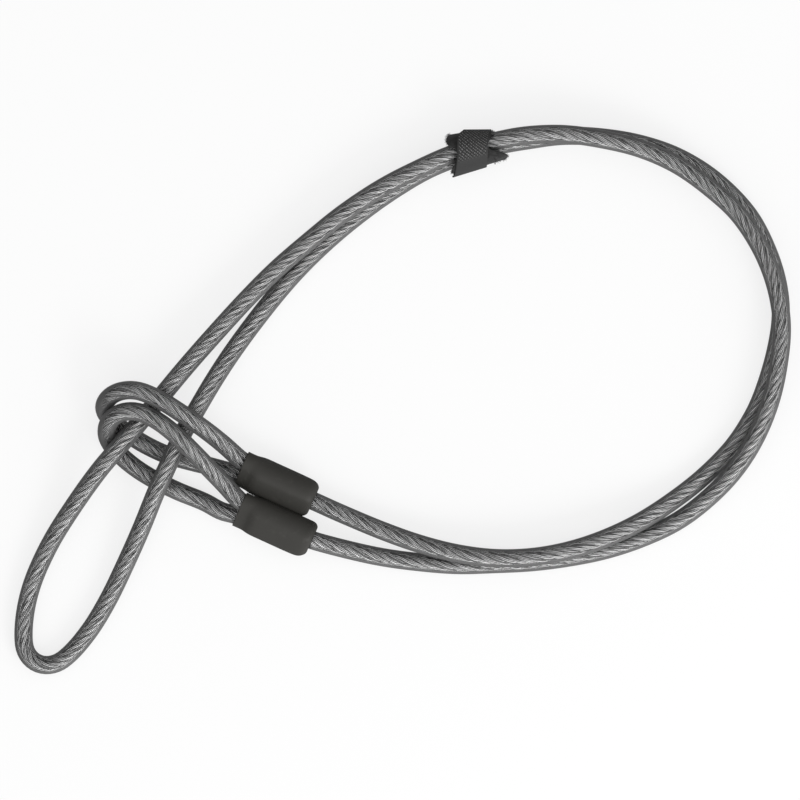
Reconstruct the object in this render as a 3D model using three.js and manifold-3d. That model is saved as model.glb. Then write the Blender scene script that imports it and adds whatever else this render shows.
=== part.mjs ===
// Double-loop security cable: one length of steel wire rope in a clear plastic jacket, with a
// crimped eye at each end and a hook-and-loop strap that gathers the cable. It lies on a flat
// surface, folded double, with its middle pulled through both eyes.
// Millimetres, +Z up. The origin is at the middle of the object, on the surface it lies on.
import * as THREE from "three";
import { mergeVertices } from "three/addons/utils/BufferGeometryUtils.js";
import Module from "manifold-3d";

// Driving dimensions.
const CLEARANCE = 0.3; // gap between neighbouring pieces
const CABLE_D = 10; // over the jacket
const JACKET_WALL = 1;
const CABLE_SIDES = 12;
const ROPE_SIDES = 8;

const SLEEVE_LENGTH = 43;
const SLEEVE_WIDTH = 21.8;
const SLEEVE_THICKNESS = 17.4;
const SLEEVE_WALL = 1;
const SLEEVE_ROUNDING = 3;
const SLEEVE_END_WALL = 1.6;
const JACKET_LEAN_GAP = 1; // room for a jacket end that leaves the ferrule at a slant
const COLLAR_LENGTH = 6.5; // the part of the sleeve shrunk over the two strands
const SLEEVE_HEADING = -24.5; // degrees, from +X towards +Y
const SLEEVE_ROLL = 45; // degrees, the dead end of the rope lies above the live one
const FIRST_SLEEVE = { x: -67.8, y: -46.7, exitOffset: 0 };
const SECOND_SLEEVE_LEAD = 8.25; // how far the second sleeve lies ahead of the first
const SECOND_EXIT_OFFSET = 1.2;
const DEAD_END_AT = 4; // where the dead end stops, from the middle of the sleeve

const STRAP_CENTRE = { x: 91.3, y: -37.2 }; // centre of the arc that the strap slides along
const STRAP_ARC_RADIUS = 180.4;
const STRAP_AT = 107; // degrees round that arc
const STRAP_BORE = 10.9; // inside radius of the wound loop tape, before it is pulled narrow
const STRAP_SQUASH = 0.86; // how much narrower than high it is pulled
const LOOP_TAPE_WIDTH = 17;
const LOOP_TAPE_THICKNESS = 1.1;
const LOOP_TAPE_SLANT = 30; // degrees, heading of the line across its edges
const HOOK_TAPE_WIDTH = 18;
const HOOK_TAPE_THICKNESS = 1.1;
const HOOK_TAPE_SLANT = 0;
const RING_SIDES = 20;
const TAB_SPAN = [0, 180]; // degrees round the ring, from the outer side of the arc, up and over
const SEWN_SPAN = [-54, -2];

// Sizes that follow from them.
const ROPE_D = CABLE_D - 2 * (JACKET_WALL + CLEARANCE);
const FERRULE_WIDTH = SLEEVE_WIDTH - 2 * (SLEEVE_WALL + CLEARANCE);
const FERRULE_THICKNESS = SLEEVE_THICKNESS - 2 * (SLEEVE_WALL + CLEARANCE);
const FERRULE_START = -SLEEVE_LENGTH / 2 + COLLAR_LENGTH + JACKET_LEAN_GAP;
const FERRULE_END = SLEEVE_LENGTH / 2 - SLEEVE_END_WALL - CLEARANCE;
const SLEEVE_Z = SLEEVE_THICKNESS / 2
  + ((SLEEVE_WIDTH - SLEEVE_THICKNESS) / 2) * Math.sin(THREE.MathUtils.degToRad(SLEEVE_ROLL));
const CRIMP_OFFSET = (ROPE_D + CLEARANCE) / 2 + 0.1; // rope from the middle of the ferrule
const COLLAR_OFFSET = (CABLE_D + CLEARANCE) / 2 + 0.1; // cable from the middle of the collar
const LOOP_TAPE_OUTER = STRAP_BORE + LOOP_TAPE_THICKNESS;
const HOOK_TAPE_INNER = LOOP_TAPE_OUTER + CLEARANCE;
const HOOK_TAPE_OUTER = HOOK_TAPE_INNER + HOOK_TAPE_THICKNESS;
const RING_STEP = 360 / RING_SIDES;
const RING_Z = LOOP_TAPE_OUTER * Math.cos(THREE.MathUtils.degToRad(RING_STEP / 2));

// Where the middle line of the cable runs, as it lies. Each eye goes from its dead end to its
// live end. The inner run goes from the first sleeve, round the big loop and through the eyes to
// the middle of the cable, and the outer run comes to the same point from the second sleeve.
const FIRST_EYE = [
  [-97.3, -24.4, 18.4], [-107.3, -16.4, 24.4], [-119.3, -8, 27.6], [-131.6, -0.3, 28.5],
  [-142.8, 4.3, 28], [-151, 4.4, 26], [-157.8, 1.6, 21.8], [-161.7, -3.8, 15.4],
  [-160.4, -9, 9.6], [-155.8, -13.8, 6.2], [-149.6, -18.7, 5.1], [-142.3, -23.6, 5],
  [-129.1, -30.1, 5], [-115.8, -34, 5], [-102.8, -37.2, 5.3],
];
const SECOND_EYE = [
  [-98.3, -61.2, 5.8], [-107, -56.4, 5], [-121.8, -50.4, 5], [-135.6, -43.6, 5],
  [-145.4, -37.4, 5], [-152.4, -31.6, 5.4], [-157.8, -25.6, 8], [-160.4, -19.2, 14.4],
  [-159, -12.8, 20.4], [-153.4, -8, 24.8], [-144.4, -6.8, 26.8], [-134, -11, 26.9],
  [-123.2, -19, 26.9], [-115.2, -26.8, 25.4], [-106, -36.4, 20.8], [-96.3, -46.6, 16.2],
];
const INNER_RUN = [
  [-34, -62, 10.3], [-10, -72, 10.7], [10, -79, 11.6], [30, -84, 13.6], [50, -86.5, 15],
  [70, -86, 15.4], [90, -82.5, 15], [110, -76, 13.7], [130, -66.5, 11], [150, -53.5, 6.4],
  [165, -41.5, 5], [180, -26, 5], [190.5, -10, 5], [196, 2, 5], [203, 25, 5], [206, 45, 5],
  [204.5, 62, 5], [199, 80, 5], [188.5, 100, 5], [170, 119, 5], [150, 131.5, 5],
  [130, 138.5, 5], [110, 142, 5.3], [88, 143, 6.1],
  ...throughStrap(179.2, 6.55),
  [-10, 110, 5.7], [-30, 95, 5], [-47, 80, 5], [-61.5, 65, 5], [-77.5, 45.5, 5.6],
  [-92.5, 25, 8.8], [-102.5, 9.5, 12.8], [-111, -5, 15.4], [-118.5, -18, 16.2],
  [-126.5, -35, 16], [-133.5, -50.5, 15.2], [-141.5, -70, 10.8], [-150.5, -90, 7],
  [-160, -109.5, 5.2], [-170, -126, 5], [-181, -139, 5], [-188, -144, 5], [-195, -145, 5],
];
const OUTER_RUN = [
  [-34, -81, 8], [-12, -86, 5.4], [10, -89, 5], [30, -90.5, 5], [50, -90, 5], [70, -89, 5],
  [90, -86.5, 5], [110, -82.5, 5], [130, -76, 5], [150, -66.5, 5.2], [167, -53.5, 7.6],
  [181, -38.5, 11.2], [192, -21, 13.1], [200, -1, 14.6], [204.5, 20, 15.4],
  [206, 40, 15.7], [203, 60, 15.6], [195.5, 80, 15.1], [183, 99.5, 14.6], [170, 112, 14.5],
  [150, 126.5, 14.7], [130, 135.5, 15.2], [110, 140.5, 15.8], [88, 143.5, 16.6],
  ...throughStrap(181.6, 16.75),
  [-10, 115, 15.8], [-32, 100.5, 14.7], [-50, 86, 13.9], [-68, 70.5, 13], [-84, 54.5, 13],
  [-104.5, 32, 14.4], [-118, 16.5, 15.5], [-132.5, -1, 16], [-140, -10, 16.3],
  [-148, -19.5, 17], [-156, -29, 19.1], [-164.5, -39, 16.2], [-179, -59, 10],
  [-191.5, -79, 6.8], [-201, -100, 5.2], [-205, -116, 5], [-206, -130, 5], [-205, -137, 5],
  [-201, -142.5, 5],
];

// Through the strap both runs follow the arc that the strap slides along.
function throughStrap(radius, height) {
  return [-9.5, -4.75, 0, 4.75, 9.5].map((turn) => {
    const angle = THREE.MathUtils.degToRad(STRAP_AT + turn);
    const x = STRAP_CENTRE.x + radius * Math.cos(angle);
    return [x, STRAP_CENTRE.y + radius * Math.sin(angle), height];
  });
}

const wasm = await Module();
wasm.setup();

function toSolid(geometry) {
  const plain = geometry.index ? geometry.toNonIndexed() : geometry.clone();
  plain.deleteAttribute("normal");
  plain.deleteAttribute("uv");
  const merged = mergeVertices(plain, 1e-4);
  return new wasm.Manifold(new wasm.Mesh({
    numProp: 3,
    vertProperties: merged.attributes.position.array,
    triVerts: new Uint32Array(merged.index.array),
  }));
}

function toGeometry(solid) {
  const mesh = solid.getMesh();
  const geometry = new THREE.BufferGeometry();
  const positions = new Float32Array(mesh.vertProperties);
  geometry.setAttribute("position", new THREE.BufferAttribute(positions, 3));
  geometry.setIndex(new THREE.BufferAttribute(new Uint32Array(mesh.triVerts), 1));
  const shaded = geometry.toNonIndexed();
  shaded.computeVertexNormals();
  return shaded;
}

// A stretch of a smooth curve through points, from one point's number to another's. Its steps
// follow the points, so that they are short where the points are close together.
class Stretch extends THREE.Curve {
  constructor(points, from, to) {
    super();
    this.whole = new THREE.CatmullRomCurve3(points.map((p) => new THREE.Vector3(...p)));
    this.from = from;
    this.to = to;
    this.last = points.length - 1;
  }

  getPoint(t, target = new THREE.Vector3()) {
    return this.whole.getPoint((this.from + (this.to - this.from) * t) / this.last, target);
  }

  getUtoTmapping(u) {
    return u;
  }
}

function disc(radius, sides) {
  const shape = new THREE.Shape();
  for (let i = 0; i < sides; i++) {
    const angle = (2 * Math.PI * i) / sides;
    const method = i === 0 ? "moveTo" : "lineTo";
    shape[method](radius * Math.cos(angle), radius * Math.sin(angle));
  }
  shape.closePath();
  return shape;
}

function sweep(shape, points, from, to) {
  return new THREE.ExtrudeGeometry(shape, {
    extrudePath: new Stretch(points, from, to),
    steps: to - from,
    bevelEnabled: false,
  });
}

function rod(diameter, sides, points, from = 0, to = points.length - 1) {
  return sweep(disc(diameter / 2, sides), points, from, to);
}

function tube(outerD, wall, sides, points, from, to) {
  const section = disc(outerD / 2, sides);
  section.holes.push(disc(outerD / 2 - wall, sides));
  return sweep(section, points, from, to);
}

// The rope's route, with the points that each sleeve holds worked out from the sleeve.
const heading = THREE.MathUtils.degToRad(SLEEVE_HEADING);
const roll = THREE.MathUtils.degToRad(SLEEVE_ROLL);
const alongSleeve = new THREE.Vector3(Math.cos(heading), Math.sin(heading), 0);
const acrossSleeve = new THREE.Vector3(
  -Math.sin(heading) * Math.cos(roll),
  Math.cos(heading) * Math.cos(roll),
  Math.sin(roll),
);

// The second sleeve lies beside the first, on the same surface and a clearance away from it.
const overlong = SLEEVE_WIDTH - SLEEVE_THICKNESS;
const sleeveSpacing = overlong * Math.cos(roll)
  + Math.sqrt((SLEEVE_THICKNESS + CLEARANCE) ** 2 - (overlong * Math.sin(roll)) ** 2);
const SECOND_SLEEVE = {
  x: FIRST_SLEEVE.x + SECOND_SLEEVE_LEAD * alongSleeve.x + sleeveSpacing * alongSleeve.y,
  y: FIRST_SLEEVE.y + SECOND_SLEEVE_LEAD * alongSleeve.y - sleeveSpacing * alongSleeve.x,
  exitOffset: SECOND_EXIT_OFFSET,
};

function inSleeve(sleeve, along, across) {
  return new THREE.Vector3(sleeve.x, sleeve.y, SLEEVE_Z)
    .addScaledVector(alongSleeve, along)
    .addScaledVector(acrossSleeve, across)
    .toArray();
}

const MOUTH = -SLEEVE_LENGTH / 2;
const JACKET_STOP = MOUTH + COLLAR_LENGTH;
const NECK_AT = -4; // where the two ropes lie side by side in the ferrule

function deadEnd(sleeve) {
  return [
    inSleeve(sleeve, DEAD_END_AT, CRIMP_OFFSET),
    inSleeve(sleeve, NECK_AT, CRIMP_OFFSET),
    inSleeve(sleeve, JACKET_STOP, COLLAR_OFFSET),
    inSleeve(sleeve, MOUTH, COLLAR_OFFSET),
  ];
}

function liveEnd(sleeve) {
  return [
    inSleeve(sleeve, MOUTH, -COLLAR_OFFSET),
    inSleeve(sleeve, JACKET_STOP, -COLLAR_OFFSET),
    inSleeve(sleeve, NECK_AT, -CRIMP_OFFSET),
    inSleeve(sleeve, DEAD_END_AT + 2, -CRIMP_OFFSET + CLEARANCE),
    inSleeve(sleeve, FERRULE_END - 5, sleeve.exitOffset - 0.5),
    inSleeve(sleeve, FERRULE_END + JACKET_LEAN_GAP, sleeve.exitOffset),
  ];
}

const stretches = {
  firstDead: deadEnd(FIRST_SLEEVE),
  firstEye: FIRST_EYE,
  firstLive: liveEnd(FIRST_SLEEVE),
  innerRun: INNER_RUN,
  outerRun: OUTER_RUN.toReversed(),
  secondLive: liveEnd(SECOND_SLEEVE).toReversed(),
  secondEye: SECOND_EYE,
  secondDead: deadEnd(SECOND_SLEEVE).toReversed(),
};
const route = Object.values(stretches).flat();
const starts = {};
let count = 0;
for (const [name, points] of Object.entries(stretches)) {
  starts[name] = count;
  count += points.length;
}

const wireRope = rod(ROPE_D, ROPE_SIDES, route);

const jackets = {
  first_eye_jacket: [starts.firstDead + 2, starts.firstLive + 1],
  main_jacket: [starts.innerRun - 1, starts.secondLive],
  second_eye_jacket: [starts.secondEye - 2, starts.secondDead + 1],
};

// The ferrule and the shrunk sleeve over it, along local +Z and centred, with the two ropes side
// by side along local X.
function oval(width, thickness) {
  const shape = new THREE.Shape();
  const radius = thickness / 2;
  const reach = (width - thickness) / 2;
  shape.moveTo(-reach, -radius);
  shape.lineTo(reach, -radius);
  shape.absarc(reach, 0, radius, -Math.PI / 2, Math.PI / 2);
  shape.lineTo(-reach, radius);
  shape.absarc(-reach, 0, radius, Math.PI / 2, (3 * Math.PI) / 2);
  return shape;
}

function ovalBar(width, thickness, from, to, rounding) {
  const bar = new THREE.ExtrudeGeometry(oval(width, thickness), {
    depth: to - from - 2 * rounding,
    curveSegments: 8,
    bevelEnabled: rounding > 0,
    bevelThickness: rounding,
    bevelSize: rounding,
    bevelOffset: -rounding,
    bevelSegments: 3,
  });
  return bar.translate(0, 0, from + rounding);
}

function sleevePose(sleeve) {
  const third = new THREE.Vector3().crossVectors(alongSleeve, acrossSleeve);
  return new THREE.Matrix4()
    .makeBasis(acrossSleeve, third, alongSleeve)
    .setPosition(sleeve.x, sleeve.y, SLEEVE_Z);
}

function ferrule(sleeve, bore) {
  const bar = ovalBar(FERRULE_WIDTH, FERRULE_THICKNESS, FERRULE_START, FERRULE_END, 1.5);
  return toSolid(bar.applyMatrix4(sleevePose(sleeve))).subtract(bore);
}

function shrinkSleeve(sleeve, cableSpace) {
  const pose = sleevePose(sleeve);
  const place = (bar) => toSolid(bar.applyMatrix4(pose));
  const end = SLEEVE_LENGTH / 2;
  const collarWidth = 2 * COLLAR_OFFSET + CABLE_D + 2 * (CLEARANCE + SLEEVE_WALL);
  const collarThickness = CABLE_D + 2 * (CLEARANCE + SLEEVE_WALL);
  const shoulder = FERRULE_START - CLEARANCE - SLEEVE_WALL;
  const body = ovalBar(SLEEVE_WIDTH, SLEEVE_THICKNESS, shoulder, end, SLEEVE_ROUNDING);
  const collar = ovalBar(collarWidth, collarThickness, MOUTH, shoulder + SLEEVE_ROUNDING, 0);
  const pocket = ovalBar(
    FERRULE_WIDTH + 2 * CLEARANCE,
    FERRULE_THICKNESS + 2 * CLEARANCE,
    FERRULE_START - CLEARANCE,
    FERRULE_END + CLEARANCE,
    1.5,
  );
  return place(body).add(place(collar)).subtract(place(pocket)).subtract(cableSpace);
}

// The bores reach a little past the rope's two dead ends.
const boreTip = DEAD_END_AT + CLEARANCE;
const boreRoute = route
  .with(0, inSleeve(FIRST_SLEEVE, boreTip, CRIMP_OFFSET))
  .with(-1, inSleeve(SECOND_SLEEVE, boreTip, CRIMP_OFFSET));
const ropeBore = toSolid(rod(ROPE_D + 2 * CLEARANCE, CABLE_SIDES, boreRoute));
const cableBore = toSolid(rod(CABLE_D + 2 * CLEARANCE, CABLE_SIDES, route));

// The strap: loop tape wound round both strands, and a hook tape over it that is sewn down at one
// end and peels off at the other. Each is cut from a ring that runs along local +Z, with local X
// pointing out from the arc's centre and local Y pointing up.
const strapAngle = THREE.MathUtils.degToRad(STRAP_AT);
const strapOut = new THREE.Vector3(Math.cos(strapAngle), Math.sin(strapAngle), 0);
const strapUp = new THREE.Vector3(0, 0, 1);
const strapAlong = new THREE.Vector3().crossVectors(strapOut, strapUp);
const strapMiddle = new THREE.Vector3(STRAP_CENTRE.x, STRAP_CENTRE.y, RING_Z)
  .addScaledVector(strapOut, STRAP_ARC_RADIUS);
const strapPose = new THREE.Matrix4()
  .makeBasis(strapOut, strapUp, strapAlong)
  .setPosition(strapMiddle);

// Points round the ring that keep to the corners of one polygon between the two angles.
function ringArc(radius, from, to) {
  const half = RING_STEP / 2;
  const apothem = radius * Math.cos(THREE.MathUtils.degToRad(half));
  const angles = [from];
  for (let corner = half; corner < 360; corner += RING_STEP) {
    for (const angle of [corner - 360, corner]) {
      if (angle > from && angle < to) angles.push(angle);
    }
  }
  angles.push(to);
  angles.sort((a, b) => a - b);
  return angles.map((angle) => {
    const flat = Math.round(angle / RING_STEP) * RING_STEP;
    const reach = apothem / Math.cos(THREE.MathUtils.degToRad(angle - flat));
    const turn = THREE.MathUtils.degToRad(angle);
    return new THREE.Vector2(STRAP_SQUASH * reach * Math.cos(turn), reach * Math.sin(turn));
  });
}

// A piece of tape between two radii and two angles, its edges cut square to the given heading.
function tape(inner, outer, span, width, slant) {
  const closed = span === undefined;
  const shape = closed
    ? new THREE.Shape(ringArc(outer, -180, 180).slice(0, -1))
    : new THREE.Shape([...ringArc(outer, ...span), ...ringArc(inner, ...span).reverse()]);
  if (closed) shape.holes.push(new THREE.Path(ringArc(inner, -180, 180).slice(0, -1)));
  const long = 3 * width;
  const ring = new THREE.ExtrudeGeometry(shape, { depth: long, bevelEnabled: false })
    .translate(0, 0, -long / 2)
    .applyMatrix4(strapPose);
  const slab = new THREE.BoxGeometry(width, 6 * outer, 6 * outer)
    .rotateZ(THREE.MathUtils.degToRad(slant))
    .translate(strapMiddle.x, strapMiddle.y, strapMiddle.z);
  return toGeometry(toSolid(ring).intersect(toSolid(slab)));
}

const CLEAR_JACKET = { color: 0xb9bcbb, roughness: 0.15, metalness: 0 };
const STEEL = { color: 0x9a9c9a, roughness: 0.35, metalness: 1 };
const ALUMINIUM = { color: 0xb4b5b6, roughness: 0.4, metalness: 1 };
const BLACK_SHRINK = { color: 0x403f3a, roughness: 0.6, metalness: 0 };
const GREY_LOOP_TAPE = { color: 0x3b3b3c, roughness: 0.95, metalness: 0 };
const GREY_HOOK_TAPE = { color: 0x4a4a4b, roughness: 0.8, metalness: 0 };

const cable = new THREE.Group();

function add(name, geometry, finish) {
  const mesh = new THREE.Mesh(geometry, new THREE.MeshStandardMaterial(finish));
  mesh.name = name;
  cable.add(mesh);
}

add("wire_rope", wireRope, STEEL);
for (const [name, [from, to]] of Object.entries(jackets)) {
  add(name, tube(CABLE_D, JACKET_WALL, CABLE_SIDES, route, from, to), CLEAR_JACKET);
}
for (const [name, sleeve] of [["first", FIRST_SLEEVE], ["second", SECOND_SLEEVE]]) {
  add(name + "_ferrule", toGeometry(ferrule(sleeve, ropeBore)), ALUMINIUM);
  add(name + "_shrink_sleeve", toGeometry(shrinkSleeve(sleeve, cableBore)), BLACK_SHRINK);
}
add(
  "loop_tape",
  tape(STRAP_BORE, LOOP_TAPE_OUTER, undefined, LOOP_TAPE_WIDTH, LOOP_TAPE_SLANT),
  GREY_LOOP_TAPE,
);
for (const [name, span] of [["hook_tape_sewn_end", SEWN_SPAN], ["hook_tape_tab", TAB_SPAN]]) {
  const piece = tape(HOOK_TAPE_INNER, HOOK_TAPE_OUTER, span, HOOK_TAPE_WIDTH, HOOK_TAPE_SLANT);
  add(name, piece, GREY_HOOK_TAPE);
}

export default cable;
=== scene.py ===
import math

import bpy
import numpy as np
from mathutils import Matrix, Vector


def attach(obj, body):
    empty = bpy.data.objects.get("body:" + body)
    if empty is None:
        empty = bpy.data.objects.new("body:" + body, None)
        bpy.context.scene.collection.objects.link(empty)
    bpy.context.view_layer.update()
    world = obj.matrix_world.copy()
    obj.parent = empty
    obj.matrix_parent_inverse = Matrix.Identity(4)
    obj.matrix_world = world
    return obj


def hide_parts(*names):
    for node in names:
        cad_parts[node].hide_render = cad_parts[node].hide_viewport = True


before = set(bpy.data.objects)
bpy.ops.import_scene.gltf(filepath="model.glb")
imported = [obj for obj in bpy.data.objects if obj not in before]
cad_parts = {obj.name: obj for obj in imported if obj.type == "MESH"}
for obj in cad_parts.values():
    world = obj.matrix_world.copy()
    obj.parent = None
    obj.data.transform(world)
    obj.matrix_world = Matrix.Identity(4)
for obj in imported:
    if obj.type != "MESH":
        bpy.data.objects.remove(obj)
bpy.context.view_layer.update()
bpy.ops.object.select_all(action="DESELECT")

# The view: straight down on the cable as it lies, from far enough to keep the outline true.
# The lens is worked out from how wide the view is at the height of the cable.
CAMERA_HEIGHT = 4.0
VIEW_CENTRE = (-0.00116, -0.00071)
VIEW_WIDTH = 0.4348
CABLE_MIDDLE_HEIGHT = 0.009
bpy.ops.object.camera_add(location=(*VIEW_CENTRE, CAMERA_HEIGHT), rotation=(0, 0, 0))
camera = bpy.context.object
camera.data.lens = camera.data.sensor_width * (CAMERA_HEIGHT - CABLE_MIDDLE_HEIGHT) / VIEW_WIDTH
bpy.context.scene.camera = camera

# The route of the cable: one length of wire rope, from the dead end crimped in the first sleeve,
# round the first eye, through the folded loop, round the second eye, to the dead end crimped in
# the second sleeve. It lies on the surface and is lifted where it passes over itself.
MM = 0.001
CABLE_D = 10 * MM
JACKET_WALL = 1 * MM
ROPE_D = 7.4 * MM
GAP = 0.3 * MM
SLEEVE_LENGTH = 43 * MM
SLEEVE_WIDTH = 21.8 * MM
SLEEVE_THICKNESS = 17.4 * MM
SLEEVE_HEADING = math.radians(-24.5)
SLEEVE_ROLL = math.radians(45)
COLLAR_LENGTH = 6.5 * MM
SECOND_SLEEVE_LEAD = 8.25 * MM
FIRST_SLEEVE = Vector((-67.8, -46.7)) * MM
FIRST_EXIT_OFFSET = 0
SECOND_EXIT_OFFSET = 1.2 * MM
STRAP_CENTRE = Vector((91.3, -37.2, 0)) * MM
STRAP_AT = math.radians(107)
STRAP_TURNS = (-9.5, -4.75, 0, 4.75, 9.5)
CRIMP_OFFSET = (ROPE_D + GAP) / 2 + 0.1 * MM
COLLAR_OFFSET = (CABLE_D + GAP) / 2 + 0.1 * MM

# The two sleeves lie rolled over by the same angle, side by side and a gap apart.
overlong = SLEEVE_WIDTH - SLEEVE_THICKNESS
sleeve_spacing = overlong * math.cos(SLEEVE_ROLL) + math.sqrt(
    (SLEEVE_THICKNESS + GAP) ** 2 - (overlong * math.sin(SLEEVE_ROLL)) ** 2
)
sleeve_height = SLEEVE_THICKNESS / 2 + overlong / 2 * math.sin(SLEEVE_ROLL)
along_sleeve = Vector((math.cos(SLEEVE_HEADING), math.sin(SLEEVE_HEADING), 0))
across_sleeve = Vector((
    -math.sin(SLEEVE_HEADING) * math.cos(SLEEVE_ROLL),
    math.cos(SLEEVE_HEADING) * math.cos(SLEEVE_ROLL),
    math.sin(SLEEVE_ROLL),
))
first_middle = Vector((*FIRST_SLEEVE, sleeve_height))
second_middle = (
    first_middle
    + SECOND_SLEEVE_LEAD * along_sleeve
    + sleeve_spacing * Vector((along_sleeve.y, -along_sleeve.x, 0))
)


def in_sleeve(middle, along, across):
    return middle + along * along_sleeve + across * across_sleeve


def dead_end(middle):
    return [
        in_sleeve(middle, 4 * MM, CRIMP_OFFSET),
        in_sleeve(middle, -4 * MM, CRIMP_OFFSET),
        in_sleeve(middle, COLLAR_LENGTH - SLEEVE_LENGTH / 2, COLLAR_OFFSET),
        in_sleeve(middle, -SLEEVE_LENGTH / 2, COLLAR_OFFSET),
    ]


def live_end(middle, exit_offset):
    return [
        in_sleeve(middle, -SLEEVE_LENGTH / 2, -COLLAR_OFFSET),
        in_sleeve(middle, COLLAR_LENGTH - SLEEVE_LENGTH / 2, -COLLAR_OFFSET),
        in_sleeve(middle, -4 * MM, -CRIMP_OFFSET),
        in_sleeve(middle, 6 * MM, -CRIMP_OFFSET + GAP),
        in_sleeve(middle, 14.6 * MM, exit_offset - 0.5 * MM),
        in_sleeve(middle, 20.6 * MM, exit_offset),
    ]


def through_strap(radius, height):
    """Five points, in millimetres, where a run follows the arc that the strap slides along."""
    turns = [STRAP_AT + math.radians(turn) for turn in STRAP_TURNS]
    middle = STRAP_CENTRE / MM
    return [(middle.x + radius * math.cos(t), middle.y + radius * math.sin(t), height) for t in turns]


FIRST_EYE = [
    (-97.3, -24.4, 18.4), (-107.3, -16.4, 24.4), (-119.3, -8, 27.6), (-131.6, -0.3, 28.5),
    (-142.8, 4.3, 28), (-151, 4.4, 26), (-157.8, 1.6, 21.8), (-161.7, -3.8, 15.4),
    (-160.4, -9, 9.6), (-155.8, -13.8, 6.2), (-149.6, -18.7, 5.1), (-142.3, -23.6, 5),
    (-129.1, -30.1, 5), (-115.8, -34, 5), (-102.8, -37.2, 5.3),
]
SECOND_EYE = [
    (-98.3, -61.2, 5.8), (-107, -56.4, 5), (-121.8, -50.4, 5), (-135.6, -43.6, 5),
    (-145.4, -37.4, 5), (-152.4, -31.6, 5.4), (-157.8, -25.6, 8), (-160.4, -19.2, 14.4),
    (-159, -12.8, 20.4), (-153.4, -8, 24.8), (-144.4, -6.8, 26.8), (-134, -11, 26.9),
    (-123.2, -19, 26.9), (-115.2, -26.8, 25.4), (-106, -36.4, 20.8), (-96.3, -46.6, 16.2),
]
INNER_RUN = [
    (-34, -62, 10.3), (-10, -72, 10.7), (10, -79, 11.6), (30, -84, 13.6), (50, -86.5, 15),
    (70, -86, 15.4), (90, -82.5, 15), (110, -76, 13.7), (130, -66.5, 11),
    (150, -53.5, 6.4), (165, -41.5, 5), (180, -26, 5), (190.5, -10, 5), (196, 2, 5),
    (203, 25, 5), (206, 45, 5), (204.5, 62, 5), (199, 80, 5), (188.5, 100, 5),
    (170, 119, 5), (150, 131.5, 5), (130, 138.5, 5), (110, 142, 5.3), (88, 143, 6.1),
    *through_strap(179.2, 6.55),
    (-10, 110, 5.7), (-30, 95, 5), (-47, 80, 5), (-61.5, 65, 5), (-77.5, 45.5, 5.6),
    (-92.5, 25, 8.8), (-102.5, 9.5, 12.8), (-111, -5, 15.4), (-118.5, -18, 16.2),
    (-126.5, -35, 16), (-133.5, -50.5, 15.2), (-141.5, -70, 10.8), (-150.5, -90, 7),
    (-160, -109.5, 5.2), (-170, -126, 5), (-181, -139, 5), (-188, -144, 5),
    (-195, -145, 5),
]
OUTER_RUN = [
    (-34, -81, 8), (-12, -86, 5.4), (10, -89, 5), (30, -90.5, 5), (50, -90, 5),
    (70, -89, 5), (90, -86.5, 5), (110, -82.5, 5), (130, -76, 5), (150, -66.5, 5.2),
    (167, -53.5, 7.6), (181, -38.5, 11.2), (192, -21, 13.1), (200, -1, 14.6),
    (204.5, 20, 15.4), (206, 40, 15.7), (203, 60, 15.6), (195.5, 80, 15.1),
    (183, 99.5, 14.6), (170, 112, 14.5), (150, 126.5, 14.7), (130, 135.5, 15.2),
    (110, 140.5, 15.8), (88, 143.5, 16.6),
    *through_strap(181.6, 16.75),
    (-10, 115, 15.8), (-32, 100.5, 14.7), (-50, 86, 13.9), (-68, 70.5, 13),
    (-84, 54.5, 13), (-104.5, 32, 14.4), (-118, 16.5, 15.5), (-132.5, -1, 16),
    (-140, -10, 16.3), (-148, -19.5, 17), (-156, -29, 19.1), (-164.5, -39, 16.2),
    (-179, -59, 10), (-191.5, -79, 6.8), (-201, -100, 5.2), (-205, -116, 5),
    (-206, -130, 5), (-205, -137, 5), (-201, -142.5, 5),
]
stretches = {
    "first_dead": dead_end(first_middle),
    "first_eye": [Vector(p) * MM for p in FIRST_EYE],
    "first_live": live_end(first_middle, FIRST_EXIT_OFFSET),
    "inner_run": [Vector(p) * MM for p in INNER_RUN],
    "outer_run": [Vector(p) * MM for p in reversed(OUTER_RUN)],
    "second_live": live_end(second_middle, SECOND_EXIT_OFFSET)[::-1],
    "second_eye": [Vector(p) * MM for p in SECOND_EYE],
    "second_dead": dead_end(second_middle)[::-1],
}
route = np.array([p for points in stretches.values() for p in points])
starts = {}
for name, points in stretches.items():
    starts[name] = sum(len(stretches[n]) for n in starts)


def smooth_line(points, steps=24):
    """The smooth line through the points, and how many points it has passed at each place."""
    line, passed = [], []
    for i in range(len(points) - 1):
        p1, p2 = points[i], points[i + 1]
        p0 = points[i - 1] if i else 2 * p1 - p2
        p3 = points[i + 2] if i + 2 < len(points) else 2 * p2 - p1
        d0, d1, d2 = (math.sqrt(np.linalg.norm(b - a)) for a, b in ((p0, p1), (p1, p2), (p2, p3)))
        t1 = ((p1 - p0) / d0 - (p2 - p0) / (d0 + d1) + (p2 - p1) / d1) * d1
        t2 = ((p2 - p1) / d1 - (p3 - p1) / (d1 + d2) + (p3 - p2) / d2) * d1
        t = np.linspace(0, 1, steps, endpoint=False)[:, None]
        cubic = (2 * p1 - 2 * p2 + t1 + t2) * t**3 + (3 * p2 - 3 * p1 - 2 * t1 - t2) * t**2
        line.append(cubic + t1 * t + p1)
        passed.append(i + t[:, 0])
    return np.vstack([*line, points[-1]]), np.append(np.concatenate(passed), len(points) - 1)


def distance_along(line):
    return np.append(0, np.cumsum(np.linalg.norm(np.diff(line, axis=0), axis=1)))


def resample(values, at, wanted):
    return np.stack([np.interp(wanted, at, values[:, k]) for k in range(3)], axis=1)


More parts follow.
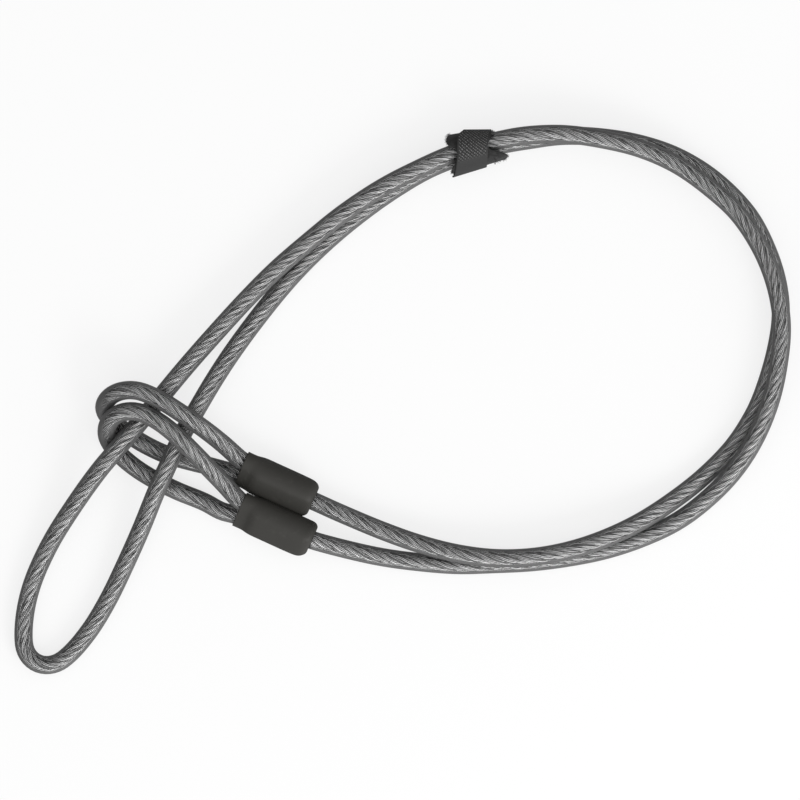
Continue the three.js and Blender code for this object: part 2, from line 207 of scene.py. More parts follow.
# The line is taken at every half millimetre and eased a little, as a stiff cable does by itself.
FINE_STEP = 0.5 * MM
EASE = 4
rough, passed = smooth_line(route)
travel = distance_along(rough)
fine_at = np.linspace(0, travel[-1], round(travel[-1] / FINE_STEP))
fine = resample(rough, travel, fine_at)
weights = np.exp(-0.5 * (np.arange(-3 * EASE, 3 * EASE + 1) / EASE) ** 2)
weights /= weights.sum()
before = 2 * fine[0] - fine[3 * EASE:0:-1]
after = 2 * fine[-1] - fine[-2:-3 * EASE - 2:-1]
padded = np.vstack([before, fine, after])
fine = np.stack([np.convolve(padded[:, k], weights, "valid") for k in range(3)], axis=1)
forward = np.gradient(fine, axis=0)
forward /= np.linalg.norm(forward, axis=1)[:, None]
sideways = np.zeros_like(fine)
carried = np.cross(forward[0], (0, 0, 1))
for i, t in enumerate(forward):
    carried = carried - carried.dot(t) * t
    carried /= np.linalg.norm(carried)
    sideways[i] = carried
upward = np.cross(forward, sideways)


def stretch_of_route(first, last, step):
    """Middle line and its two cross directions, between two distances along the rope."""
    at = np.linspace(first, last, max(2, round((last - first) / step) + 1))
    return at, *(resample(values, fine_at, at) for values in (fine, sideways, upward))


def distance_at(number):
    """How far along the rope a numbered point of the route lies."""
    return float(np.interp(number, passed, travel))


def skin(name, rings, maps, inner=None):
    """A closed tube over rings of points, capped at both ends, or open-bored if it has an inner
    set of rings. Its UV map runs round it in turns, and along it in metres."""
    count, sides = rings.shape[:2]
    points = rings.reshape(-1, 3)
    i, j = np.meshgrid(np.arange(count - 1), np.arange(sides), indexing="ij")
    a, b = (i * sides + j).ravel(), (i * sides + (j + 1) % sides).ravel()
    faces = np.stack([a, b, b + sides, a + sides], axis=1)
    turn = np.stack([j, j + 1, j + 1, j], axis=-1).reshape(-1, 4) / sides
    metre = np.stack([maps[i], maps[i], maps[i + 1], maps[i + 1]], axis=-1).reshape(-1, 4)
    last = (count - 1) * sides
    ring = np.arange(sides)
    if inner is None:
        caps = [ring[::-1].tolist(), (last + ring).tolist()]
    else:
        total = len(points)
        points = np.vstack([points, inner.reshape(-1, 3)])
        faces = np.vstack([faces, faces[:, ::-1] + total])
        turn, metre = np.vstack([turn, turn[:, ::-1]]), np.vstack([metre, metre[:, ::-1]])
        after = (ring + 1) % sides
        front = np.stack([ring, ring + total, after + total, after], axis=1)
        caps = np.vstack([front, (front + last)[:, ::-1]]).tolist()
    mesh = bpy.data.meshes.new(name)
    mesh.from_pydata(points.tolist(), [], faces.tolist() + caps)
    uv = np.zeros((len(mesh.loops), 2))
    uv[:faces.size, 0], uv[:faces.size, 1] = turn.ravel(), metre.ravel()
    mesh.uv_layers.new(name="UVMap").data.foreach_set("uv", uv.ravel())
    mesh.shade_smooth()
    piece = bpy.data.objects.new(name, mesh)
    bpy.context.collection.objects.link(piece)
    return piece


def round_rings(at, middle, side, up, radius, sides):
    angle = np.linspace(0, 2 * np.pi, sides, endpoint=False)
    return middle[:, None] + radius * (
        np.cos(angle)[None, :, None] * side[:, None] + np.sin(angle)[None, :, None] * up[:, None]
    )


class Value:
    """A number that a shader works out, which Python's operators add their Math nodes to."""

    def __init__(self, finish, socket):
        self.finish, self.socket = finish, socket

    def math(self, operation, first, second=0.0):
        return self.finish.node("ShaderNodeMath", {"operation": operation}, {0: first, 1: second})[0]

    def __add__(self, other):
        return self.math("ADD", self, other)

    def __sub__(self, other):
        return self.math("SUBTRACT", self, other)

    def __rsub__(self, other):
        return self.math("SUBTRACT", other, self)

    def __mul__(self, other):
        return self.math("MULTIPLY", self, other)

    __radd__, __rmul__ = __add__, __mul__

    def floor(self):
        return self.math("FLOOR", self)

    def fraction(self):
        return self.math("FRACT", self)

    def size(self):
        return self.math("ABSOLUTE", self)

    def sine(self):
        return self.math("SINE", self)

    def ramp(self, low, high):
        """0 up to low, 1 from high on, and a soft rise between them."""
        settings = {"interpolation_type": "SMOOTHSTEP"}
        values = {"Value": self, "From Min": low, "From Max": high}
        return self.finish.node("ShaderNodeMapRange", settings, values)[0]


class Finish:
    """A material, or the world, that is put together from nodes."""

    def __init__(self, name, kept_in=bpy.data.materials):
        self.owner = kept_in.new(name)
        self.owner.use_nodes = True
        self.tree = self.owner.node_tree
        self.tree.nodes.clear()

    def node(self, kind, settings=None, values=None):
        """Adds a node and gives back its outputs."""
        made = self.tree.nodes.new(kind)
        for key, setting in (settings or {}).items():
            setattr(made, key, setting)
        for key, value in (values or {}).items():
            if isinstance(value, Value):
                self.tree.links.new(value.socket, made.inputs[key])
            else:
                made.inputs[key].default_value = value
        return [Value(self, out) for out in made.outputs]

    def shown(self, shader):
        self.node("ShaderNodeOutputMaterial", {}, {"Surface": shader})
        return self.owner

    def blend(self, low, high, factor):
        return self.node("ShaderNodeMix", {"data_type": "RGBA"}, {0: factor, 6: low, 7: high})[2]

    def noise(self, scale, where, detail=2.0):
        values = {"Scale": scale, "Vector": where, "Detail": detail}
        return self.node("ShaderNodeTexNoise", {}, values)[0]

    def on_object(self):
        return self.node("ShaderNodeTexCoord")[3]

    def on_map(self):
        """The two ways across the piece's own map."""
        place = self.node("ShaderNodeUVMap", {"uv_map": "UVMap"})[0]
        return self.node("ShaderNodeSeparateXYZ", {}, {0: place})[:2]

    def stretched(self, x, y):
        return self.node("ShaderNodeCombineXYZ", {}, {0: x, 1: y})[0]

    def bump(self, height, distance, strength=1.0):
        values = {"Height": height, "Distance": distance, "Strength": strength}
        return self.node("ShaderNodeBump", {}, values)[0]


def grey(value, warmth=0.0):
    return (value * (1 + warmth), value, value * (1 - warmth), 1)


# The jackets: clear plastic tubes drawn over the rope, one over the long run and one over each
# eye, cut back inside the sleeves. Where the clear wall is seen edge on, it is drawn nearly solid
# in dark grey. This is painted shade, standing in for the dark band that clear plastic shows there by
# refraction.
JACKET_SIDES = 32
JACKET_STEP = 2 * MM
JACKET_BORE = ROPE_D / 2 + 0.25 * MM
clear = Finish("clear_jacket")
facing = clear.node("ShaderNodeLayerWeight", {}, {"Blend": 0.5})[1]
smear = clear.noise(60, clear.on_object(), 3)
# The nearly solid dark grey wall at the edges is painted shade. The clear plastic has no such colour.
painted_dark_edge_band = facing.ramp(0.2, 0.36)
wall = clear.node("ShaderNodeBsdfPrincipled", {}, {
    "Base Color": clear.blend(grey(0.055), grey(0.095), smear),
    "Roughness": 0.32 + smear * 0.2,
    "IOR": 1.5,
})[0]
through = clear.node("ShaderNodeBsdfTransparent", {}, {"Color": grey(0.95)})[0]
seen = clear.node("ShaderNodeMixShader", {}, {0: 0.03 + painted_dark_edge_band * 0.93, 1: through, 2: wall})[0]
clear_jacket = clear.shown(seen)
lining = Finish("jacket_bore")
clear_bore = lining.shown(lining.node("ShaderNodeBsdfTransparent", {}, {"Color": grey(0.97)})[0])

jackets = {
    "main_jacket": (starts["inner_run"] - 1, starts["second_live"], 1.88),
    "first_eye_jacket": (2, starts["first_live"] + 1, 0.2),
    "second_eye_jacket": (starts["second_eye"] - 2, starts["second_dead"] + 1, 0.207),
}
for node, (first, last, length) in jackets.items():
    at, middle, side, up = stretch_of_route(distance_at(first), distance_at(last), JACKET_STEP)
    outside = round_rings(at, middle, side, up, CABLE_D / 2, JACKET_SIDES)
    bore = round_rings(at, middle, side, up, JACKET_BORE, JACKET_SIDES)
    jacket = skin("clear_" + node, outside, at, bore)
    jacket.data.materials.append(clear_jacket)
    jacket.data.materials.append(clear_bore)
    outside_faces = (len(at) - 1) * JACKET_SIDES
    for face in jacket.data.polygons[outside_faces:2 * outside_faces]:
        face.material_index = 1
    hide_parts(node)
    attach(jacket, "cable")

# The rope: six strands laid right-handed round a core strand. Each strand is nine bright steel
# wires twisted the other way round an inner bundle, so its skin is nine ridges.
ROPE_LAY = 30 * MM
STRAND_LAY = 20 * MM
STRAND_R = ROPE_D / 6
WIRES = 9
ROPE_STEP = 1.5 * MM
STRANDS = 6
CORE_SIDES = 10
steel = Finish("strand_steel")
turn, metre = steel.on_map()
across = turn * WIRES
# Across each wire this is 1 on the wire's top and 0 in the groove beside it. The grooves are painted
# nearly black, as painted shade where the wires shade each other.
painted_groove_shade_mask = 1 - ((across.fraction() - 0.5).size() * 2)
wire = steel.node("ShaderNodeTexWhiteNoise", {"noise_dimensions": "1D"}, {"W": across.floor()})[0]
streaks = steel.noise(1.0, steel.stretched(across * 2.2, metre * 160), 3)
specks = steel.noise(900, steel.on_object(), 2)
tone = (streaks * 0.5 + specks * 0.35 + wire * 0.5).ramp(0.4, 0.95)
bright = steel.blend(grey(0.22), grey(1.0), tone)
steel_wire = steel.shown(steel.node("ShaderNodeBsdfPrincipled", {}, {
    "Base Color": steel.blend(grey(0.015), bright, painted_groove_shade_mask.ramp(0.2, 0.9)),
    "Metallic": 0.6,
    "Roughness": 0.3 + streaks * 0.25,
    "Normal": steel.bump(streaks, 0.05 * MM, 0.6),
})[0])

# Four points to each wire: the valley beside it, one flank, the top and the other flank.
wire_r = STRAND_R * math.sin(math.pi / WIRES) / (1 + math.sin(math.pi / WIRES))
lean = np.array([-0.5, -0.25, 0.0, 0.25]) * 2 * np.pi / WIRES
ridge_r = (STRAND_R - wire_r) * np.cos(lean) + np.sqrt(
    np.maximum(wire_r**2 - ((STRAND_R - wire_r) * np.sin(lean)) ** 2, 0)
)
around = (np.arange(WIRES)[:, None] * 2 * np.pi / WIRES + lean[None]).ravel()
reach = np.tile(ridge_r, WIRES)
at, middle, side, up = stretch_of_route(0, fine_at[-1], ROPE_STEP)
for number in range(STRANDS):
    phase = 2 * np.pi * (at / ROPE_LAY + number / STRANDS)
    outward = np.cos(phase)[:, None] * side + np.sin(phase)[:, None] * up
    strand_middle = middle + (ROPE_D / 2 - STRAND_R) * outward
    ahead = np.gradient(strand_middle, axis=0)
    ahead /= np.linalg.norm(ahead, axis=1)[:, None]
    outward -= (outward * ahead).sum(1)[:, None] * ahead
    outward /= np.linalg.norm(outward, axis=1)[:, None]
    beside = np.cross(ahead, outward)
    spin = around[None] - 2 * np.pi * at[:, None] / STRAND_LAY
    rings = strand_middle[:, None] + reach[None, :, None] * (
        np.cos(spin)[..., None] * outward[:, None] + np.sin(spin)[..., None] * beside[:, None]
    )
    strand = skin(f"rope_strand_{number + 1}", rings, at)
    strand.data.materials.append(steel_wire)
    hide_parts("wire_rope")
    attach(strand, "cable")
at, middle, side, up = stretch_of_route(0, fine_at[-1], 2 * ROPE_STEP)
core = skin("rope_core", round_rings(at, middle, side, up, STRAND_R, CORE_SIDES), at)
core.data.materials.append(steel_wire)
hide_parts("wire_rope")
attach(core, "cable")

# The ferrules: short oval aluminium tubes pressed round the live and the dead end of the rope.
# They are hidden under the sleeves.
pressed = Finish("pressed_aluminium")
grain = pressed.noise(700, pressed.on_object(), 4)
dents = pressed.noise(160, pressed.on_object(), 1)
pressed_aluminium = pressed.shown(pressed.node("ShaderNodeBsdfPrincipled", {}, {
    "Base Color": pressed.blend(grey(0.5), grey(0.72), grain),
    "Metallic": 1.0,
    "Roughness": 0.35 + grain * 0.2,
    "Normal": pressed.bump(dents, 0.3 * MM, 0.5),
})[0])
for node in ("first_ferrule", "second_ferrule"):
    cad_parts[node].data.materials.clear()
    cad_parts[node].data.materials.append(pressed_aluminium)

# The shrink sleeves: soft black tube shrunk hot over each ferrule. The mouth is cut square round
# the two cables of the eye, and the far end closes over the single cable.
MOUTH_WIDTH = 23.1 * MM
MOUTH_THICKNESS = 12.6 * MM
SLEEVE_WALL = 0.9 * MM
MOUTH_CORNER_STEPS = 6
LEAN_STARTS = 38
LEAN_LENGTH = 4
SLEEVE_LIFT = Vector((0, 0, 0.35 * MM))
# How far from the mouth each section is, its width and its thickness, in millimetres.
SLEEVE_SECTIONS = (
    (0.5, 23.1, 12.6), (3.6, 22.8, 12.6), (5.8, 22.5, 13.2), (7.6, 22.1, 15.0), (9.6, 21.9, 16.4),
    (12, 21.8, 16.9), (20, 21.7, 16.8), (28, 21.8, 16.9), (37.4, 21.7, 16.8), (39.6, 21.1, 16.3),
    (41.3, 19.6, 15.3), (42.5, 17.2, 13.4), (43, 14.2, 12), (42.9, 11.6, 11), (42.2, 10.9, 10.8),
)
shrunk = Finish("shrunk_sleeve")
skin_grain = shrunk.noise(1400, shrunk.on_object(), 3)
waves = shrunk.noise(95, shrunk.on_object(), 2)
scuffs = shrunk.noise(240, shrunk.on_object(), 5).ramp(0.55, 0.75)
shrunk_plastic = shrunk.shown(shrunk.node("ShaderNodeBsdfPrincipled", {}, {
    "Base Color": shrunk.blend(
        (0.0215, 0.0205, 0.018, 1), (0.030, 0.029, 0.0255, 1), waves * 0.5 + scuffs * 0.5
    ),
    "Roughness": 0.52 + skin_grain * 0.18 - scuffs * 0.05,
    "Specular IOR Level": 0.3,
    "Normal": shrunk.bump(waves * 0.8 + skin_grain * 0.08, 0.35 * MM, 0.5),
})[0])


def leaned(place):
    """How much of the way to the single cable's place a sleeve has moved over, from 0 to 1."""
    return max(0, min(1, (place - LEAN_STARTS) / LEAN_LENGTH))


def shrink_sleeve(name, middle, exit_offset):
    bpy.ops.object.select_all(action="DESELECT")
    bpy.ops.mesh.primitive_plane_add(size=1)
    sleeve = bpy.context.object
    sleeve.name = sleeve.data.name = name
    bpy.ops.object.mode_set(mode="EDIT")
    bpy.ops.mesh.select_mode(type="VERT")
    bpy.ops.transform.resize(value=(MOUTH_WIDTH, MOUTH_THICKNESS, 1), center_override=(0, 0, 0))
    bpy.ops.mesh.bevel(
        offset=MOUTH_THICKNESS * 0.4999, segments=MOUTH_CORNER_STEPS, affect="VERTICES"
    )
    bpy.ops.mesh.select_mode(type="FACE")
    bpy.ops.mesh.select_all(action="SELECT")
    before = (0, MOUTH_WIDTH / MM, MOUTH_THICKNESS / MM)
    for place, width, thickness in SLEEVE_SECTIONS:
        shift = exit_offset * (leaned(place) - leaned(before[0]))
        bpy.ops.mesh.extrude_region_move(
            TRANSFORM_OT_translate={"value": (shift, 0, (place - before[0]) * MM)}
        )
        bpy.ops.transform.resize(value=(width / before[1], thickness / before[2], 1))
        before = (place, width, thickness)
    bpy.ops.mesh.select_all(action="DESELECT")
    bpy.ops.object.mode_set(mode="OBJECT")
    for face in sleeve.data.polygons:
        face.select = len(face.vertices) > 4
    bpy.ops.object.mode_set(mode="EDIT")
    bpy.ops.mesh.delete(type="ONLY_FACE")
    bpy.ops.mesh.select_all(action="SELECT")
    bpy.ops.mesh.remove_doubles(threshold=0.02 * MM)
    bpy.ops.mesh.normals_make_consistent(inside=False)
    bpy.ops.object.mode_set(mode="OBJECT")
    wall = sleeve.modifiers.new("wall", "SOLIDIFY")
    wall.thickness, wall.offset = SLEEVE_WALL, -1
    round_off = sleeve.modifiers.new("round_off", "SUBSURF")
    round_off.levels = round_off.render_levels = 2
    for modifier in (wall, round_off):
        bpy.ops.object.modifier_apply(modifier=modifier.name)
    flat_way = along_sleeve.cross(across_sleeve)
    pose = Matrix((across_sleeve, flat_way, along_sleeve)).transposed().to_4x4()
    pose.translation = middle - SLEEVE_LENGTH / 2 * along_sleeve + SLEEVE_LIFT
    sleeve.data.transform(pose)
    bpy.ops.object.shade_smooth()
    sleeve.data.materials.append(shrunk_plastic)
    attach(sleeve, "cable")
    return sleeve


first_sleeve = shrink_sleeve("black_first_sleeve", first_middle, FIRST_EXIT_OFFSET)
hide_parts("first_shrink_sleeve")
second_sleeve = shrink_sleeve("black_second_sleeve", second_middle, SECOND_EXIT_OFFSET)
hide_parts("second_shrink_sleeve")

# The strap's loop tape: a knitted tape with a brushed pile, wound once round both strands of the
# cable a little askew. Its cut edges and its pile stand out in short fibres.
STRAP_ARC_R = 180.4 * MM
STRAP_SQUASH = 0.86
STRAP_LAY_FLAT = math.cos(math.radians(9))  # the CAD ring has flats, and lies on one of them
STRAP_LEAN_FADE = 0.7
LOOP_TAPE_R = (10.9 * MM, 12.0 * MM)
LOOP_ASKEW = (0.13, 0.3)
strap_out = Vector((math.cos(STRAP_AT), math.sin(STRAP_AT), 0))
strap_along = strap_out.cross((0, 0, 1))
strap_middle = STRAP_CENTRE + STRAP_ARC_R * strap_out
strap_middle.z = LOOP_TAPE_R[1] * STRAP_LAY_FLAT


def on_strap(out, up, along):
    return strap_middle + out * strap_out + Vector((0, 0, up)) + along * strap_along


def on_ring(radius, angle, along, askew):
    """A place on the ring, which is pulled narrow and leans over on its outer side."""
    lean = askew * along * max(0, math.cos(angle)) ** STRAP_LEAN_FADE
    out = STRAP_SQUASH * radius * math.cos(angle) - lean
    return on_strap(out, radius * math.sin(angle), along)


def wound_tape(name, radii, span, edges, askew, steps):
    """A tape wound round the strap's ring from one angle to the other. Its edges are rows of an
    angle and the places of the left and the right edge along the cable, in millimetres, and each
    half has its own lean."""
    angles, lefts, rights = zip(*edges)
    bpy.ops.object.select_all(action="DESELECT")
    bpy.ops.mesh.primitive_grid_add(x_subdivisions=12, y_subdivisions=steps, size=1)
    tape = bpy.context.object
    tape.name = tape.data.name = name
    low, high = span
    for vertex in tape.data.vertices:
        t, angle = vertex.co.x + 0.5, math.radians(low + (high - low) * (vertex.co.y + 0.5))
        radius = (radii[0] + radii[1]) / 2 * STRAP_LAY_FLAT
        left = float(np.interp(math.degrees(angle), angles, lefts))
        right = float(np.interp(math.degrees(angle), angles, rights))
        along = (left + (right - left) * t) * MM
        vertex.co = on_ring(radius, angle, along, askew[along > 0])
    bpy.ops.object.mode_set(mode="EDIT")
    bpy.ops.mesh.select_all(action="SELECT")
    bpy.ops.mesh.remove_doubles(threshold=0.05 * MM)
    bpy.ops.object.mode_set(mode="OBJECT")
    wall = tape.modifiers.new("wall", "SOLIDIFY")
    wall.thickness, wall.offset = radii[1] - radii[0] - 0.1 * MM, 0
    soft_edge = tape.modifiers.new("soft_edge", "BEVEL")
    soft_edge.width, soft_edge.segments = 0.3 * MM, 2
    soft_edge.limit_method, soft_edge.angle_limit = "ANGLE", math.radians(50)
    for modifier in (wall, soft_edge):
        bpy.ops.object.modifier_apply(modifier=modifier.name)
    bpy.ops.object.shade_smooth()
    return tape


pile = Finish("brushed_pile")
clumps = pile.noise(420, pile.on_object(), 4)
fluff = pile.noise(2600, pile.on_object(), 2)
brushed_pile = pile.shown(pile.node("ShaderNodeBsdfPrincipled", {}, {
    "Base Color": pile.blend(grey(0.012), grey(0.034), clumps.ramp(0.3, 0.7) * 0.6 + fluff * 0.4),
    "Roughness": 0.95,
    "Specular IOR Level": 0.15,
    "Sheen Weight": 0.1,
    "Sheen Roughness": 0.5,
    "Normal": pile.bump(clumps * 0.6 + fluff * 0.4, 0.5 * MM, 0.9),
})[0])
LOOP_EDGES = (
    (-90, -11, 10), (-45, -11.5, 11), (0, -9.8, 12.5), (35, -12.4, 13.2), (50, -13, 12),
    (62, -12.4, 10), (74, -9.5, 8.5), (90, -9, 7.6), (108, -9.5, 8.5), (130, -13.5, 14.5), (150, -15, 17),
    (180, -12.5, 15), (215, -11, 13), (270, -11, 10), (315, -11.5, 11), (360, -9.8, 12.5),
)
loop_tape = wound_tape("loop_tape_wrap", LOOP_TAPE_R, (0, 360), LOOP_EDGES, LOOP_ASKEW, 96)
loop_tape.data.materials.append(brushed_pile)
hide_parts("loop_tape")
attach(loop_tape, "strap")

# The pile's fibres: nylon threads that stand up from the loop tape, thickest at its two cut
# edges. One thin curled thread is modelled once and copied.
FIBRES = 2200
FIBRE_LENGTH = 1.3 * MM
FIBRE_SCATTER = 0.35
FIBRE_CURL = 0.35
EDGE_FIBRES = 9  # how many times thicker they stand at a cut edge
THREAD_R = 0.045 * MM
bpy.ops.object.select_all(action="DESELECT")
bpy.ops.mesh.primitive_cone_add(
    vertices=3, radius1=THREAD_R, radius2=THREAD_R / 2, depth=1, end_fill_type="NOTHING"
)
thread = bpy.context.object
bpy.ops.object.mode_set(mode="EDIT")
for height in (-0.17, 0.17):
    bpy.ops.mesh.select_all(action="SELECT")
    bpy.ops.mesh.bisect(plane_co=(0, 0, height), plane_no=(0, 0, 1))
bpy.ops.mesh.select_all(action="SELECT")
bpy.ops.transform.translate(value=(0, 0, 0.5))
bpy.ops.object.mode_set(mode="OBJECT")
thread_points = np.array([v.co for v in thread.data.vertices])
thread_faces = [list(p.vertices) for p in thread.data.polygons]
bpy.data.objects.remove(thread)


def planted(name, roots, ways, lengths, thickness, curl, material, dice):
    """One mesh of curled threads, each with a root, a way to grow and a length."""
    points, faces = [], []
    for root, way, length in zip(roots, ways, lengths):
        way = way / np.linalg.norm(way)
        bend = np.cross(way, dice.normal(0, 1, 3))
        bend /= np.linalg.norm(bend)
        x = thread_points[:, 0] * thickness + curl * length * thread_points[:, 2] ** 2
        y = thread_points[:, 1] * thickness
        placed = root + np.outer(x, bend) + np.outer(y, np.cross(way, bend))
        placed += np.outer(thread_points[:, 2] * length, way)
        placed[:, 2] = np.maximum(placed[:, 2], 0)
        faces += [[i + len(points) * len(placed) for i in face] for face in thread_faces]
        points.append(placed)
    mesh = bpy.data.meshes.new(name)
    mesh.from_pydata(np.vstack(points).tolist(), [], faces)
    threads = bpy.data.objects.new(name, mesh)
    bpy.context.collection.objects.link(threads)
    threads.data.materials.append(material)
    return threads


def skin_faces(tape):
    """Each face's centre and normal, the way out from the strap's middle line, how far along the
    strap it lies and how it faces."""
    centres = np.array([p.center for p in tape.data.polygons])
    normals = np.array([p.normal for p in tape.data.polygons])
    from_middle = centres - np.array(strap_middle)
    along = from_middle @ np.array(strap_along)
    way_out = from_middle - along[:, None] * np.array(strap_along)
    way_out /= np.linalg.norm(way_out, axis=1)[:, None]
    return centres, normals, way_out, along, (normals * from_middle).sum(1)


PLAIN_MIDDLE = 9 * MM  # no fibres are planted nearer than this to the tape's middle line
dice = np.random.default_rng(7)
centres, normals, way_out, along, outward = skin_faces(loop_tape)
on_edge = np.abs(normals @ np.array(strap_along)) > 0.5
rooms = np.array([p.area for p in loop_tape.data.polygons]) * (np.abs(along) > PLAIN_MIDDLE)
rooms *= np.where(on_edge, EDGE_FIBRES, outward > 0)
chosen = dice.choice(len(rooms), FIBRES, p=rooms / rooms.sum())
fibres = planted(
    "loop_tape_fibres",
    centres[chosen] + dice.uniform(-FIBRE_SCATTER, FIBRE_SCATTER, (FIBRES, 3)) * MM,
    normals[chosen] + 0.8 * way_out[chosen] + dice.normal(0, 0.4, (FIBRES, 3)),
    FIBRE_LENGTH * dice.uniform(0.35, 1, FIBRES), 1, FIBRE_CURL, brushed_pile, dice,
)
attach(fibres, "strap")

# The strap's hook tape: a woven tape with hooks on its inner side, over the loop tape. One end is
# sewn down on the outer side of the strap, and the rest peels off as a tab with a plain tip.
HOOK_TAPE_R = (12.3 * MM, 13.4 * MM)
HOOK_EDGES = (
    (-60, -2.8, 12.9), (0, -1.8, 12.6), (20, -2.7, 12.3), (45, -6.2, 11.2), (90, -9.2, 8.3),
    (135, -12.4, 5.6), (160, -14, 4.6), (180, -15.2, 4.3),
)
TAB_SPAN = (0.6, 180)
SEWN_SPAN = (-54, -4.5)
TIP_STARTS = 0.6
WEAVE_PITCH = 1.8 * MM
HOOK_TAPE_WIDTH = 18 * MM
HOOK_TAPE_MIDDLE_R = 12.8 * MM
HOOK_ASKEW = 0.3
woven = Finish("woven_hook_tape")
across, lengthwise = woven.on_map()
tape_length = math.pi * HOOK_TAPE_MIDDLE_R * (1 + STRAP_SQUASH) / 2
weft = across * (HOOK_TAPE_WIDTH / WEAVE_PITCH)
warp = lengthwise * (tape_length / WEAVE_PITCH)
wander = woven.noise(600, woven.on_object(), 2) * 1.1
diamonds = ((weft + wander) * 2 * math.pi).sine() * ((warp + wander) * 2 * math.pi).sine()
ribs = (weft * 6 * math.pi).sine() * (warp * 6 * math.pi).sine()
selvage = (across - 0.5).size().ramp(0.43, 0.47)
tip = lengthwise.ramp(TIP_STARTS - 0.02, TIP_STARTS + 0.06)
cloth = (1 - selvage) * (1 - tip)
knots = diamonds.ramp(0.15, 0.8) * cloth
lint = woven.noise(1500, woven.on_object(), 3)
woven_tape = woven.shown(woven.node("ShaderNodeBsdfPrincipled", {}, {
    "Base Color": woven.blend(grey(0.017), grey(0.17), knots * 0.85 + lint * 0.1),
    "Roughness": 0.75 - tip * 0.15,
    "Specular IOR Level": 0.2,
    "Normal": woven.bump((knots + ribs * cloth * 0.4) + lint * 0.15, 0.25 * MM, 0.8),
})[0])
tab = wound_tape("hook_tape_tab_woven", HOOK_TAPE_R, TAB_SPAN, HOOK_EDGES, (HOOK_ASKEW,) * 2, 48)
tab.data.materials.append(woven_tape)
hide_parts("hook_tape_tab")
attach(tab, "tab")
sewn = wound_tape("hook_tape_sewn_woven", HOOK_TAPE_R, SEWN_SPAN, HOOK_EDGES, (HOOK_ASKEW,) * 2, 16)
sewn.data.materials.append(woven_tape)
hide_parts("hook_tape_sewn_end")
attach(sewn, "strap")

# The hooks: stiff bent nylon bristles in rows on the inner side of the tab, that hold in the
# pile. The plain tip has none.
HOOK_LENGTH = 0.5 * MM
HOOK_THICKNESS = 3  # times a pile fibre's
HOOK_CURL = 0.9
centres, normals, way_out, along, outward = skin_faces(tab)
inside = (outward < -0.7 * HOOK_TAPE_R[0]) & (np.abs(normals @ np.array(strap_along)) < 0.5)
inside &= (centres - np.array(strap_middle)) @ np.array(strap_out) > -0.6 * HOOK_TAPE_R[0]
hooks = planted(
    "hook_tape_hooks", centres[inside], normals[inside], np.full(inside.sum(), HOOK_LENGTH),
    HOOK_THICKNESS, HOOK_CURL, woven_tape, dice,
)
hooks.data.uv_layers.new(name="UVMap")
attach(hooks, "tab")

# The stitching: two rows of black thread that hold the sewn end down. They follow the lean of
# the tape, and each stitch is a short rounded rod.
STITCH = 1.5 * MM
STITCH_R = 0.28 * MM
STITCH_PITCH = 1.9 * MM
STITCH_MIDDLE = 5.2 * MM
STITCH_ROWS = (-12, -44)
thread_finish = Finish("sewing_thread")
twist = thread_finish.noise(3000, thread_finish.on_object(), 2)
sewing_thread = thread_finish.shown(thread_finish.node("ShaderNodeBsdfPrincipled", {}, {
    "Base Color": thread_finish.blend(grey(0.02), grey(0.07), twist),
    "Roughness": 0.7,
    "Normal": thread_finish.bump(twist, 0.05 * MM, 0.8),
})[0])
stitches = []
stitch_ring = HOOK_TAPE_R[1] * STRAP_LAY_FLAT + 0.05 * MM
for row in STITCH_ROWS:
    for k in range(-3, 4):
        along = STITCH_MIDDLE + k * STITCH_PITCH
        bpy.ops.object.select_all(action="DESELECT")
        bpy.ops.mesh.primitive_cylinder_add(
            vertices=8, radius=STITCH_R, depth=STITCH,
            location=on_ring(stitch_ring, math.radians(row), along, HOOK_ASKEW),
            rotation=(strap_along - HOOK_ASKEW * strap_out).to_track_quat("Z", "Y").to_euler(),
        )
        stitch = bpy.context.object
        bpy.ops.object.transform_apply(location=True, rotation=True, scale=True)
        rounding = stitch.modifiers.new("rounding", "BEVEL")
        rounding.width, rounding.segments = 0.2 * MM, 2
        bpy.ops.object.modifier_apply(modifier=rounding.name)
        stitches.append(stitch)
bpy.ops.object.select_all(action="DESELECT")
for stitch in stitches:
    stitch.select_set(True)
bpy.context.view_layer.objects.active = stitches[0]
bpy.ops.object.join()
stitching = bpy.context.object
stitching.name = stitching.data.name = "sewn_end_stitching"
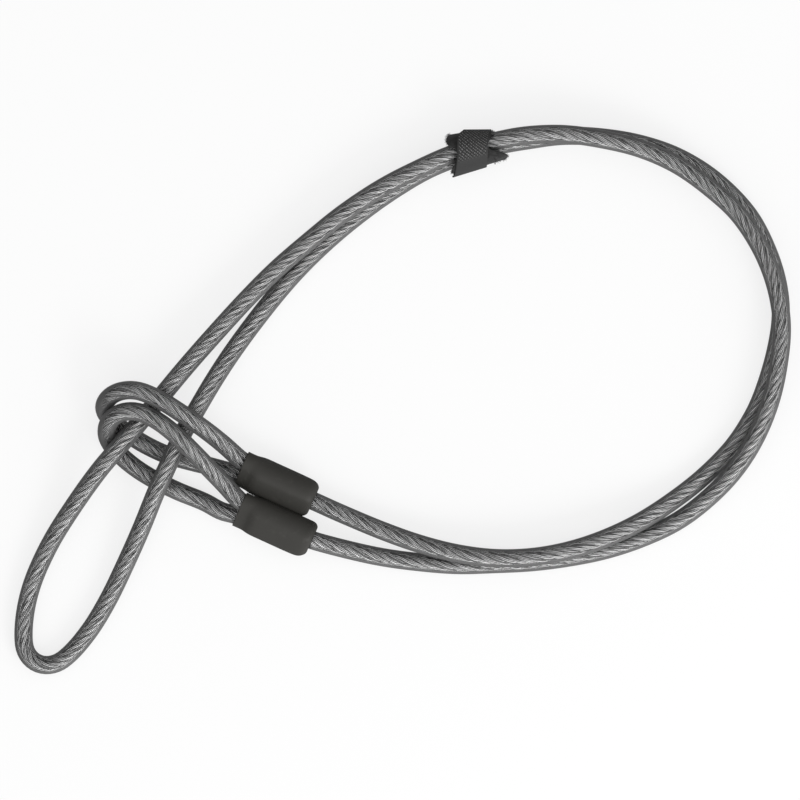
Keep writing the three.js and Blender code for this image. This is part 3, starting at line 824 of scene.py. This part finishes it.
bpy.ops.object.transform_apply(location=True, rotation=True, scale=True)
bpy.ops.object.shade_smooth()
stitching.data.materials.clear()
stitching.data.materials.append(sewing_thread)
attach(stitching, "strap")

# The setting: a plain pale floor under soft studio light, with one lamp from the lower right.
# The floor glows a little, so that it comes out nearly white.
FLOOR_Z = -0.1 * MM
FLOOR_SIZE = 12
LAMP_AT = Vector((0.7, -1.0, 0.95))
bpy.ops.mesh.primitive_plane_add(size=FLOOR_SIZE, location=(0, 0, FLOOR_Z))
floor = bpy.context.object
floor.name = "floor"
paper = Finish("pale_floor")
floor.data.materials.append(paper.shown(paper.node("ShaderNodeBsdfPrincipled", {}, {
    "Base Color": grey(0.15), "Roughness": 0.9, "Specular IOR Level": 0.0,
    "Emission Color": grey(1.0), "Emission Strength": 0.78,
})[0]))
# The paper's own light would wash out the dark side of the cable.
floor.visible_diffuse = floor.visible_glossy = False
bpy.ops.object.light_add(type="AREA", location=LAMP_AT)
lamp = bpy.context.object
lamp.name = "key_light"
lamp.data.size = 0.6
lamp.data.energy = 12
lamp.rotation_euler = LAMP_AT.to_track_quat("Z", "Y").to_euler()

# The studio is white overhead and on the key light's side, and darker low down on the other side.
STUDIO_BRIGHT = 1.35
STUDIO_DARK = 0.35
KEY_SIDE = Vector((0.4, -0.6, 0.6)).normalized()
sky = Finish("studio", bpy.data.worlds)
direction = sky.node("ShaderNodeTexCoord")[0]
turned = sky.node("ShaderNodeVectorMath", {"operation": "DOT_PRODUCT"}, {0: direction, 1: KEY_SIDE})[1]
level = STUDIO_DARK + turned.ramp(-0.3, 0.6) * (STUDIO_BRIGHT - STUDIO_DARK)
# What the camera sees past the floor is a plain light grey.
seen = sky.node("ShaderNodeLightPath")[0]
strength = seen * 0.9 + (1 - seen) * level
backdrop = sky.node("ShaderNodeBackground", {}, {"Color": (1, 1, 1, 1), "Strength": strength})[0]
sky.node("ShaderNodeOutputWorld", {}, {"Surface": backdrop})
bpy.context.scene.world = sky.owner
bpy.context.scene.view_settings.view_transform = "Standard"
